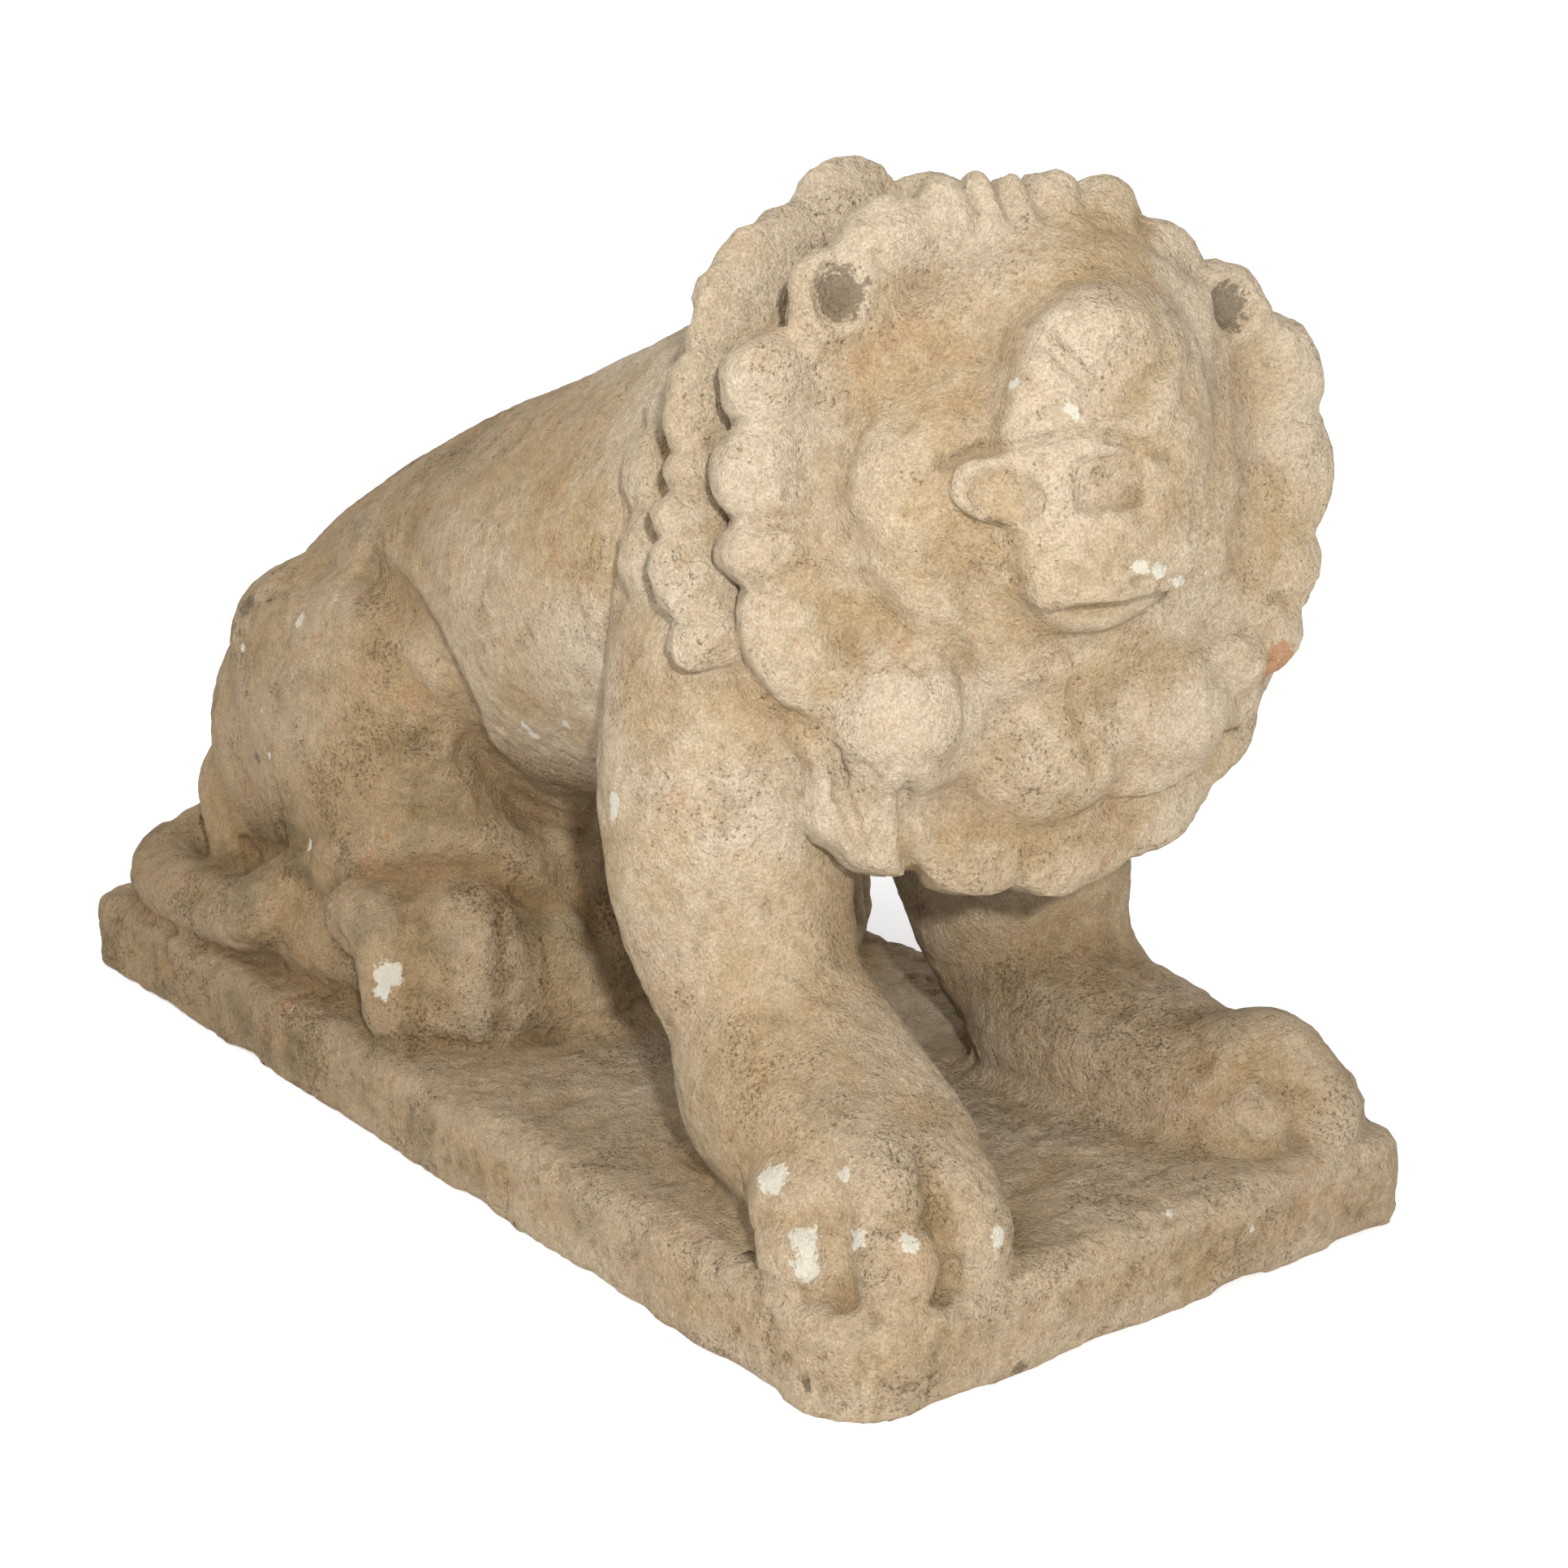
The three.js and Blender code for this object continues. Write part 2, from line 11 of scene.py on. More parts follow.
import bmesh
import bpy
import numpy as np
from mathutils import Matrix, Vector


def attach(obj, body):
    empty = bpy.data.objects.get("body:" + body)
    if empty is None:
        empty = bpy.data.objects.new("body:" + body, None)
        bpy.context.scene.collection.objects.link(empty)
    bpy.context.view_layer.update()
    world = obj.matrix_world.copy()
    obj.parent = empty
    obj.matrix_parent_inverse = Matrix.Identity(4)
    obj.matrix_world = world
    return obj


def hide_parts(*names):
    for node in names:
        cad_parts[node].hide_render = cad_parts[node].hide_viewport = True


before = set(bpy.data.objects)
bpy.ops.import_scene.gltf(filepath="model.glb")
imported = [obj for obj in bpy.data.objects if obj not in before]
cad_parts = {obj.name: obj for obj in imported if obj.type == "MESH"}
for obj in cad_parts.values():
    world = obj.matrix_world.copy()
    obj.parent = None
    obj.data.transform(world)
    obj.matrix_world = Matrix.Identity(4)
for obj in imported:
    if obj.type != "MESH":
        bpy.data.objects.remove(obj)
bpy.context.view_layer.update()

MM = 0.001
STEP = 3.0  # pitch of the grid, mm
TRIANGLES = 190000
CRUMB = 100  # loose specks of fewer faces than this are dropped

SLAB = {"width": 432, "length": 962, "height": 58, "worn": 16}
SLAB_CORNERS = {"near_right": 50, "near_left": 22, "back": 30}
HEAD = {"at": (0, -375, 448), "turn": -18, "nod": 4}
LIT = 0.62  # share of a colour on the screen that the stone itself reflects under these lamps
OVERLAP = 1.25  # how far a lock of the mane reaches under its neighbours

# Chips out of the slab's lower edge: (x, y, half sizes along x, y and z), mm
SLAB_CHIPS = (
    (-216, -392, 5, 30, 6), (-216, -262, 4, 40, 4), (-216, -120, 5, 22, 6), (-216, 40, 4, 50, 3),
    (-216, 196, 6, 26, 7), (-216, 330, 4, 40, 4), (-150, -481, 30, 5, 5), (-46, -481, 36, 4, 4),
    (70, -481, 22, 6, 7), (168, -481, 26, 4, 5), (216, -300, 5, 34, 5), (216, 90, 5, 44, 4),
    (216, 340, 6, 26, 6), (-90, 481, 38, 5, 4), (96, 481, 30, 5, 6),
)
# Toes of a hind foot: (distance from the middle, y, radius, height of the root over the slab), mm
HIND_TOES = (
    (178, 21, 30, 72), (160, 4, 27, 72), (141, -14, 31, 76), (121, -12, 28, 66),
    (101, -20, 26, 56), (84, -8, 24, 46), (68, -2, 22, 40),
)

RELIEF = 0.0043  # full height of the fine grain and pits drawn by the bump, m
# Lamps: (name, place, point it faces, width in m, watts)
LAMPS = (
    ("flash", (-1.12, -1.92, 0.95), (0, -0.15, 0.3), 0.09, 50),
    ("high", (-1.6, -0.3, 2.2), (0, 0, 0.2), 1.8, 32),
    ("behind", (1.6, 2.2, 2.0), (0, 0, 0.3), 1.8, 26),
)
FLOOR_RADIUS = 30  # m
# The photo's camera: focal length and film width in mm, place in m, the way it looks
CAMERA = {
    "lens": 54, "film": 36,
    "at": (-0.87426686, -1.28062143, 0.59426821),
    "forward": (0.59328257, 0.76723525, -0.24365109),
}


# Tools

def turn_matrix(rx, ry, rz):
    """Turns in degrees about x, then y, then z."""
    a, b, c = np.radians((rx, ry, rz))
    x = np.array([[1, 0, 0], [0, math.cos(a), -math.sin(a)], [0, math.sin(a), math.cos(a)]])
    y = np.array([[math.cos(b), 0, math.sin(b)], [0, 1, 0], [-math.sin(b), 0, math.cos(b)]])
    z = np.array([[math.cos(c), -math.sin(c), 0], [math.sin(c), math.cos(c), 0], [0, 0, 1]])
    return z @ y @ x


def facing(turn, nod):
    """Columns side, up and front of something that faces the given way."""
    a, p = math.radians(turn), math.radians(nod)
    front = np.array([math.sin(a) * math.cos(p), -math.cos(a) * math.cos(p), math.sin(p)])
    side = np.cross([0, 0, 1], front)
    side /= np.linalg.norm(side)
    return np.stack([side, np.cross(front, side), front], 1)


LEVEL = np.eye(3)
FACE = facing(HEAD["turn"], HEAD["nod"])
FRONT_RIGHT = (-0.56, -0.8, 0.24)


def on_face(u, v, w):
    """A point of the head: u to the lion's left, v up, w forward."""
    return np.array(HEAD["at"], float) + FACE @ np.array([u, v, w], float)


def soft(a, b, blend):
    if blend <= 0:
        return np.minimum(a, b)
    h = np.maximum(blend - np.abs(a - b), 0) / blend
    return np.minimum(a, b) - h * h * blend * 0.25


def step_up(x, low, high):
    t = np.clip((x - low) / (high - low), 0, 1)
    return t * t * (3 - 2 * t)


def noise(p, size, seed):
    """Smooth noise, mostly within -0.7 to 0.7, with lumps of that size."""
    q = p / size
    cell = np.floor(q).astype(np.int64)
    f = q - cell
    w = f * f * f * (f * (f * 6 - 15) + 10)
    total = np.zeros(len(p))
    for corner in np.ndindex(2, 2, 2):
        c = np.array(corner)
        k = cell + c
        h = (k[:, 0] * 73856093) ^ (k[:, 1] * 19349663) ^ (k[:, 2] * 83492791) ^ (seed * 40503)
        h = ((h ^ (h >> 13)) * 1274126177) & 0x3FFFFFFF
        h = ((h ^ (h >> 15)) * 668265263) & 0x3FFFFFFF
        slope = np.stack([h & 1023, (h >> 10) & 1023, (h >> 20) & 1023], 1) / 511.5 - 1
        weight = np.where(c, w, 1 - w).prod(1)
        total += weight * ((f - c) * slope).sum(1)
    return total * 1.4


class Block:
    """The block of stone: distances to its surface on a grid, in mm."""

    def __init__(self, low, high, step):
        self.low = np.array(low, float)
        self.step = step
        self.count = np.ceil((np.array(high) - self.low) / step).astype(int) + 1
        self.field = np.full(self.count, 1000.0, np.float32)
        self.axes = [(self.low[i] + step * np.arange(self.count[i])).astype(np.float32)
                     for i in range(3)]

    def merge(self, low, high, distance, blend, cut=False):
        """Joins a form to the stone, or cuts it out, inside the box it needs."""
        pad = blend + 2 * self.step
        start = np.floor((np.array(low) - pad - self.low) / self.step).astype(int)
        stop = np.ceil((np.array(high) + pad - self.low) / self.step).astype(int) + 1
        part = tuple(slice(i, j) for i, j in zip(np.clip(start, 0, self.count),
                                                 np.clip(stop, 0, self.count)))
        old = self.field[part]
        if old.size == 0:
            return
        x = self.axes[0][part[0]][:, None, None]
        y = self.axes[1][part[1]][None, :, None]
        z = self.axes[2][part[2]][None, None, :]
        new = distance(x, y, z)
        self.field[part] = -soft(-old, new, blend) if cut else soft(old, new, blend)

    def at(self, grid, p):
        """Value of a grid at points p, in mm, read between its nodes."""
        q = np.clip((p - self.low) / self.step, 0, self.count - 1.001)
        i = q.astype(int)
        f = q - i
        total = 0
        for corner in np.ndindex(2, 2, 2):
            c = np.array(corner)
            total = total + np.where(c, f, 1 - f).prod(1) * grid[tuple((i + c).T)]
        return total

    def slope(self, p):
        """Direction in which the distance grows: the outward normal."""
        e = np.eye(3) * self.step
        g = np.stack([self.at(self.field, p + e[a]) - self.at(self.field, p - e[a])
                      for a in range(3)], 1)
        return g / np.maximum(np.linalg.norm(g, axis=1, keepdims=True), 1e-9)

    def fullness(self, reach):
        """Share of stone around each node: high in hollows, low on edges."""
        full = np.clip(0.5 - self.field / self.step, 0, 1).astype(np.float32)
        width = max(1, round(reach / self.step))
        for _ in range(2):
            for axis in range(3):
                pad = [(0, 0)] * 3
                pad[axis] = (width + 1, width)
                total = np.cumsum(np.pad(full, pad), axis=axis, dtype=np.float32)
                n = full.shape[axis]
                ahead = np.take(total, np.arange(2 * width + 1, 2 * width + 1 + n), axis=axis)
                behind = np.take(total, np.arange(0, n), axis=axis)
                full = (ahead - behind) / (2 * width + 1)
        return full


def local(axes, at, x, y, z):
    dx, dy, dz = x - at[0], y - at[1], z - at[2]
    return [axes[0, i] * dx + axes[1, i] * dy + axes[2, i] * dz for i in range(3)]


def ball(block, at, half, axes=LEVEL, blend=10, cut=False):
    """An egg with three half sizes."""
    reach = np.sqrt(((axes * np.array(half)) ** 2).sum(1))

    def distance(x, y, z):
        p = local(axes, at, x, y, z)
        k0 = np.sqrt(sum((a / r) ** 2 for a, r in zip(p, half)))
        k1 = np.sqrt(sum((a / r / r) ** 2 for a, r in zip(p, half)))
        return k0 * (k0 - 1) / np.maximum(k1, 1e-6)
    block.merge(np.array(at) - reach, np.array(at) + reach, distance, blend, cut)


def brick(block, at, half, edge, axes=LEVEL, blend=10, cut=False):
    """A brick with rounded edges."""
    reach = (np.abs(axes) * np.array(half)).sum(1)

    def distance(x, y, z):
        q = [np.abs(a) - h + edge for a, h in zip(local(axes, at, x, y, z), half)]
        out = np.sqrt(sum(np.maximum(a, 0) ** 2 for a in q))
        return out + np.minimum(np.maximum(np.maximum(q[0], q[1]), q[2]), 0) - edge
    block.merge(np.array(at) - reach, np.array(at) + reach, distance, blend, cut)


def leaf(block, at, axes, half, edge, blend, crown, cut=False):
    """An oval plate, half = (side, length, thickness), thinner to its rim by crown."""
    reach = (np.abs(axes) * np.array(half)).sum(1)
    side, length, thick = half

    def distance(x, y, z):
        u, v, w = local(axes, at, x, y, z)
        k0 = np.sqrt((u / side) ** 2 + (v / length) ** 2)
        k1 = np.sqrt((u / side / side) ** 2 + (v / length / length) ** 2)
        rim = k0 * (k0 - 1) / np.maximum(k1, 1e-6) + edge
        face = np.abs(w) - thick * (1 - crown * np.minimum(k0, 1.2) ** 2) + edge
        out = np.sqrt(np.maximum(rim, 0) ** 2 + np.maximum(face, 0) ** 2)
        return out + np.minimum(np.maximum(rim, face), 0) - edge
    block.merge(np.array(at) - reach, np.array(at) + reach, distance, blend, cut)


def hull(a, b, ra, rb):
    """Distance to the skin stretched over two balls."""
    ba = b - a
    l2 = float(ba @ ba)
    rr = ra - rb
    a2 = max(l2 - rr * rr, 1e-9)
    il2 = 1 / max(l2, 1e-9)

    def distance(x, y, z):
        px, py, pz = x - a[0], y - a[1], z - a[2]
        yy = px * ba[0] + py * ba[1] + pz * ba[2]
        zz = yy - l2
        x2 = ((px * l2 - ba[0] * yy) ** 2 + (py * l2 - ba[1] * yy) ** 2
              + (pz * l2 - ba[2] * yy) ** 2)
        y2 = yy * yy * l2
        z2 = zz * zz * l2
        k = np.sign(rr) * rr * rr * x2
        out = (np.sqrt(x2 * (a2 * il2)) + yy * rr) * il2 - ra
        out = np.where(np.sign(yy) * a2 * y2 < k, np.sqrt(x2 + y2) * il2 - ra, out)
        return np.where(np.sign(zz) * a2 * z2 > k, np.sqrt(x2 + z2) * il2 - rb, out)
    return distance


def smooth_path(rows, per=4):
    """More rows on a smooth curve through the given rows of numbers."""
    p = np.array(rows, float)
    if len(p) < 3:
        return p
    q = np.vstack([2 * p[0] - p[1], p, 2 * p[-1] - p[-2]])
    out = []
    for i in range(1, len(q) - 2):
        a, b, c, d = q[i - 1:i + 3]
        for s in np.arange(per) / per:
            out.append(0.5 * (2 * b + (c - a) * s + (2 * a - 5 * b + 4 * c - d) * s ** 2
                              + (3 * b - 3 * c + d - a) * s ** 3))
    return np.array(out + [p[-1]])


def limb(block, balls, blend=20, wide=1.0, cut=False, per=4):
    """A tapering limb through balls (x, y, z, radius). wide stretches it sideways."""
    rows = smooth_path(balls, per)
    low = (rows[:, :3] - rows[:, 3:] * wide).min(0)
    high = (rows[:, :3] + rows[:, 3:] * wide).max(0)
    narrow = rows[:, :3] / (wide, 1, 1)
    parts = [hull(narrow[n], narrow[n + 1], rows[n, 3], rows[n + 1, 3])
             for n in range(len(rows) - 1)]

    def distance(x, y, z):
        best = parts[0](x / wide, y, z)
        for part in parts[1:]:
            best = np.minimum(best, part(x / wide, y, z))
        return best
    block.merge(low, high, distance, blend, cut)


def along(block, rows, towards, sink, blend=4, cut=True):
    """A groove, or a ridge, that follows the stone's own surface met from one side.

    Each row (x, y, z, radius) is moved along `towards` onto the surface and sunk in by sink.
    """
    d = np.array(towards, float)
    d /= np.linalg.norm(d)
    rows = smooth_path(rows)
    t = np.arange(60, -60, -1.0)[:, None]
    for row in rows:
        p = row[:3] + d * t
        hit = int(np.argmax(block.at(block.field, p) < 0))
        row[:3] = p[hit] + d * ((row[3] - sink) if cut else (sink - row[3]))
    limb(block, rows, blend, cut=cut, per=1)


# The lion

def slab(block):
    half_w, half_l = SLAB["width"] / 2, SLAB["length"] / 2

    def distance(x, y, z):
        near = np.where(x < 0, SLAB_CORNERS["near_right"], SLAB_CORNERS["near_left"])
        round_ = np.where(y < 0, near, SLAB_CORNERS["back"])
        qx, qy = np.abs(x) - half_w + round_, np.abs(y) - half_l + round_
        side = (np.sqrt(np.maximum(qx, 0) ** 2 + np.maximum(qy, 0) ** 2)
                + np.minimum(np.maximum(qx, qy), 0) - round_)
        s, t = side + SLAB["worn"], z - SLAB["height"] + SLAB["worn"]
        upper = (np.sqrt(np.maximum(s, 0) ** 2 + np.maximum(t, 0) ** 2)
                 + np.minimum(np.maximum(s, t), 0) - SLAB["worn"])
        return np.maximum(upper, -z)
    block.merge((-half_w, -half_l, 0), (half_w, half_l, SLAB["height"]), distance, 0)
    for x, y, *half in SLAB_CHIPS:
        ball(block, (x, y, 0), half, blend=3, cut=True)


def body(block):
    """Barrel of the body and the stone left standing under the belly."""
    limb(block, [(0, 325, 200, 98), (0, 290, 240, 112), (0, 217, 276, 126), (0, 43, 330, 138),
                 (0, -97, 358, 143), (0, -200, 378, 138)], blend=30, wide=1.2)
    ball(block, (0, 130, 140), (135, 165, 120), blend=40)
    ball(block, (0, 60, 70), (110, 85, 60), blend=50)
    ball(block, (0, -270, 320), (120, 100, 100), blend=40)


def hind_leg(block, s):
    """Thigh, rump, hock, foot and four toes. s is -1 for the right leg."""
    ball(block, (s * 116, 152, 240), (82, 156, 110), turn_matrix(-30, 0, 0), 6)
    ball(block, (s * 98, 272, 208), (86, 92, 110), blend=20)
    ball(block, (s * 144, 220, 290), (46, 58, 50), blend=30)  # point of the hip
    ball(block, (s * 118, 105, 205), (66, 92, 66), blend=22)
    limb(block, [(s * 130, 320, 160, 50), (s * 145, 295, 80, 36)], blend=12)
    limb(block, [(s * 148, 260, 85, 40), (s * 148, 150, 95, 47), (s * 138, 60, 110, 50)], blend=15)
    ball(block, (s * 108, 80, 150), (64, 78, 56), blend=20)
    ball(block, (s * 52, 10, 60), (58, 60, 64), blend=24)
    floor = SLAB["height"]
    for x, y, r, h in HIND_TOES:
        limb(block, [(s * x, y + 50, floor + h, r * 0.95), (s * x, y + 12, floor + h * 0.9, r),
                     (s * x, y, floor + r * 0.8, r)], blend=8)
    out = (s * 0.56, -0.8, 0.24)
    # fold where the thigh meets the flank, then creases at the hock and between the toes
    along(block, [(s * 154, 113, 354, 12), (s * 161, 70, 344, 16), (s * 166, 12, 320, 18),
                  (s * 155, -4, 286, 18), (s * 134, 11, 253, 15), (s * 112, 13, 222, 12),
                  (s * 85, 13, 198, 9), (s * 61, -6, 189, 8)],
          out, 6, 14)
    along(block, [(s * 134, 11, 253, 4), (s * 112, 13, 222, 5), (s * 85, 13, 198, 6),
                  (s * 61, -6, 189, 6)],
          out, 5, 4)
    along(block, [(s * 194, 171, 202, 4), (s * 190, 180, 180, 6), (s * 182, 190, 158, 6)], out, 5, 5)
    along(block, [(s * 178, 268, 136, 5), (s * 172, 262, 119, 7), (s * 176, 245, 105, 6)], out, 7, 5)
    along(block, [(s * 182, 8, 148, 6), (s * 187, -3, 110, 9), (s * 190, -4, 70, 8)], out, 3, 8)
    along(block, [(s * 132, -29, 142, 5), (s * 140, -43, 105, 8), (s * 142, -44, 70, 8)], out, 3.5, 8)
    along(block, [(s * 100, -32, 120, 5), (s * 104, -47, 82, 7), (s * 106, -47, 62, 6)], out, 3, 8)


def tail(block):
    """Round the back right corner, along the slab and over the hind foot."""
    limb(block, [(-20, 415, 160, 30), (-100, 438, 102, 30), (-168, 425, 82, 28), (-187, 340, 82, 27),
                 (-187, 240, 90, 27), (-184, 195, 104, 24)], blend=8)
    along(block, [(-186, 215, 100, 26), (-178, 155, 134, 26), (-172, 100, 162, 23), (-168, 62, 177, 19),
                  (-156, 33, 188, 17), (-137, 18, 190, 17), (-115, 11, 180, 17), (-96, 3, 159, 17),
                  (-82, -8, 129, 16), (-76, -24, 99, 15), (-70, -34, 72, 12)],
          FRONT_RIGHT, 10, 8, cut=False)


def fore_legs(block):
    limb(block, [(-84, -262, 420, 70), (-112, -262, 340, 76), (-125, -262, 270, 73),
                 (-126, -268, 210, 66), (-125, -298, 155, 56), (-128, -330, 115, 53)], blend=14)
    limb(block, [(100, -160, 400, 85), (120, -195, 280, 82), (130, -217, 190, 77),
                 (137, -230, 130, 66), (146, -252, 88, 55)], blend=14)
    along(block, [(-125, -185, 482, 3), (-142, -193, 456, 4), (-151, -198, 437, 4),
                  (-161, -210, 403, 4), (-164, -204, 385, 4), (-164, -200, 366, 4),
                  (-160, -190, 340, 3)], FRONT_RIGHT, 5, 2)


def paw(block, wrist, knuckles, thick, toes):
    """The paw's back from wrist to knuckles, then toes (x, y of the tip, radius)."""
    floor = SLAB["height"]
    limb(block, [(*wrist, thick[0]), (*knuckles, thick[1])], blend=18)
    wrist, knuckles = np.array(wrist, float), np.array(knuckles, float)
    for x, y, r in toes:
        tip = np.array([x, y, floor + r * 0.5])
        middle = knuckles * 0.45 + np.array([x, y, 0]) * 0.55
        middle[2] = floor + r * 1.55
        root = knuckles * 0.8 + wrist * 0.2 + (tip - knuckles) * np.array([0.5, 0.2, 0])
        limb(block, [(*root, r * 0.9), (*middle, r * 1.02), (*tip, r)], blend=8)


# Three collars of overlapping locks. Each lock is (angle where it starts, how
# far it reaches), counted from the lion's left over the top of its head.
COLLARS = (
    dict(at=HEAD["at"], turn=-18, nod=4, thick=24, low=0, dip=7,
         notch=34, puff=15, back=3, edge=5, locks=(
        (11, 168), (31, 154), (50, 147), (71, 157), (85, 160), (96, 158), (103, 163), (109, 168),
        (118, 175), (139, 170), (153, 190), (169, 188), (185, 189), (196, 192), (222, 187), (251, 179),
        (278, 183), (305, 180), (318, 178), (332, 174), (346, 168))),
    dict(at=(0, -328, 418), turn=-12, nod=14, thick=17, low=18, dip=0,
         notch=24, puff=10, back=3, edge=4, locks=(
        (12, 175), (30, 175), (50, 175), (70, 182), (88, 192), (104, 212), (118, 209), (146, 198),
        (164, 190), (172, 197), (179, 203), (192, 206), (200, 178), (214, 176), (228, 206), (249, 205),
        (266, 208), (286, 205), (305, 200), (325, 200), (340, 190), (354, 180))),
    dict(at=(0, -268, 398), turn=-8, nod=23, thick=20, low=6, dip=0,
         notch=22, puff=10, back=8, edge=4, locks=(
        (10, 180), (32, 180), (56, 178), (80, 180), (98, 184), (112, 180), (125, 174), (137, 176),
        (152, 178), (170, 183), (188, 168), (204, 150), (222, 183), (250, 180), (272, 182), (292, 182),
        (312, 182), (330, 182), (350, 182))),
)
CREST, VALLEY = 30, 60  # where a collar is thickest and where it meets the head, from its rim


def collar(block, at, turn, nod, thick, low, dip, notch, puff, back, edge, locks):
    """A plate with a scalloped rim. Its locks swell between furrows that fade inward."""
    axes = facing(turn, nod)
    ends = [start for start, _ in locks[1:]] + [locks[0][0] + 360]
    far_most = max(far for _, far in locks)
    reach = (np.abs(axes) * (far_most, far_most, thick + low + puff)).sum(1)

    def distance(x, y, z):
        u, v, w = local(axes, at, x, y, z)
        r, angle = np.hypot(u, v), np.degrees(np.arctan2(v, u))
        hollow_shade = notch * (0.72 - 0.28 * u / np.maximum(r, 1))  # the right side is the less worn
        rim, swell = None, None
        for (start, far), end in zip(locks, ends):
            across = ((angle - (start + end) / 2 + 180) % 360 - 180) / (end - start) * 2
            petal = np.sqrt(np.maximum(1 - (across / OVERLAP) ** 2, 0))
            this = far - hollow_shade * (1 - petal) - 60 * np.maximum(np.abs(across) - OVERLAP, 0)
            rim = this if rim is None else -soft(-rim, -this, 3)
            swell = petal if swell is None else -soft(-swell, -petal, 0.12)
        q = rim - r
        full = thick + low * step_up(-v / np.maximum(r, 1), 0.3, 0.85)
        front = (full * (1 - 0.25 * np.clip((CREST - q) / CREST, 0, 1) ** 2)
                 - dip * step_up(q, CREST, VALLEY)
                 + puff * (swell - 0.82) * (1 - step_up(q, 20, VALLEY)))
        side = edge - q * 0.9
        flat = np.maximum(w - front, -w - back) + edge
        out = np.sqrt(np.maximum(side, 0) ** 2 + np.maximum(flat, 0) ** 2)
        return out + np.minimum(np.maximum(side, flat), 0) - edge
    block.merge(np.array(at) - reach, np.array(at) + reach, distance, 4)


def mane(block):
    limb(block, [(0, -100, 380, 130), (0, -200, 400, 145), (0, -300, 420, 140)], blend=20)
    for c in reversed(COLLARS):
        collar(block, **c)


MUZZLE = {"side": 57, "top": 76, "foot": 42, "low": -57, "front": 104}


def muzzle_form(u, v, w):
    """An egg above, squared off below: sides drawn in to the jaw, front nearly flat."""
    m = MUZZLE
    up = v - 20
    a, b = (u + 4) / m["side"], up / m["top"]
    k0 = np.sqrt(a * a + b * b)
    egg = k0 * (k0 - 1) / np.maximum(np.sqrt((a / m["side"]) ** 2 + (b / m["top"]) ** 2), 1e-6)
    wide = m["side"] + (m["foot"] - m["side"]) * np.clip(-up / 77, 0, 1.3)
    centre = -4 - 2 * np.clip(-up / 77, 0, 1)
    jaw_side = np.abs(u - centre) - wide
    jaw_low = m["low"] + 0.10 * (u + 5) - v
    corner = 9
    s, t = jaw_side + corner, jaw_low + corner
    jaw = np.hypot(np.maximum(s, 0), np.maximum(t, 0)) + np.minimum(np.maximum(s, t), 0) - corner
    outline = np.where(up > 0, egg, jaw)
    left = 0.5 + 0.5 * np.tanh(u / 20)
    high = step_up(v, -30, 20)
    draft = (0.26 - 0.22 * high + (0.6 * high - 0.14) * left) * (1 - 0.8 * step_up(-v, 25, 56))
    outline = outline - draft * np.clip(m["front"] - 12 - w, 0, 70)
    front = w - m["front"] + 0.0042 * (u + 2) ** 2 + 0.0016 * np.maximum(up - 5, 0) ** 2
    edge = 5 + (1 + 25 * left) * step_up(up, -50, 20)
    s, t = outline + edge, front + edge
    return np.hypot(np.maximum(s, 0), np.maximum(t, 0)) + np.minimum(np.maximum(s, t), 0) - edge


def muzzle(block):
    """The nose pad on top, the corner of the mouth, and a jaw with a square hollow."""
    ball(block, on_face(-58, -8, 38), (64, 56, 32), FACE, 24)  # cheek
    ball(block, on_face(-8, -46, 40), (66, 40, 40), FACE, 12)  # roll of the chin
    ahead = FACE[:, 2]
    along(block, [(*on_face(u, v, 50), r) for u, v, r in (
        (-84, -36, 8), (-64, -60, 9), (-26, -86, 10), (12, -86, 10), (50, -64, 9), (72, -34, 8))],
          ahead, 5, 14)
    at = on_face(0, 20, 60)
    block.merge(at - 120, at + 120,
                lambda x, y, z: muzzle_form(*local(FACE, HEAD["at"], x, y, z)), 4)
    # nose pad and the V below it
    ball(block, on_face(-10, 71, 82), (34, 24, 23), FACE, 3)
    along(block, [(*on_face(u, v, 90), 5) for u, v in (
        (-44, 72), (-26, 52), (-8, 37), (8, 48), (25, 64))],
          ahead, 5, 2)
    # corner of the mouth: a lip drawn out to the side round a flat pocket
    lip = FACE @ turn_matrix(0, -24, 0) @ turn_matrix(0, 0, -14)
    leaf(block, on_face(-58, -2, 74), lip, (27, 17, 15), 2, 2, 0.03)
    leaf(block, on_face(-64, -3, 92), lip, (20, 12, 9), 2, 1, 0.0, cut=True)
    along(block, [(*on_face(-50, -10, 90), 2.5), (*on_face(-49, -3, 90), 3.5),
                  (*on_face(-50, 4, 90), 2.5)],
          ahead, 3, 2)
    along(block, [(*on_face(u, v, 95), 3.5) for u, v in (
        (-86, 12), (-66, 19), (-46, 24), (-26, 27), (-4, 22), (17, 14))], ahead, 4.5, 1)
    # square hollow, nick and crack in the jaw
    hollow = FACE @ turn_matrix(9, 0, 3)
    brick(block, on_face(-13, 0, 108), (18, 13, 12), 2, hollow, 3, cut=True)
    along(block, [(*on_face(42, 2, 95), 2.5), (*on_face(40, -11, 95), 3.5), (*on_face(36, -27, 95), 3)],
          ahead, 3.5, 2)
    along(block, [(*on_face(0, -47, 95), 2), (*on_face(16, -50, 95), 2.5), (*on_face(34, -46, 95), 2)],
          ahead, 3.5, 1.5)


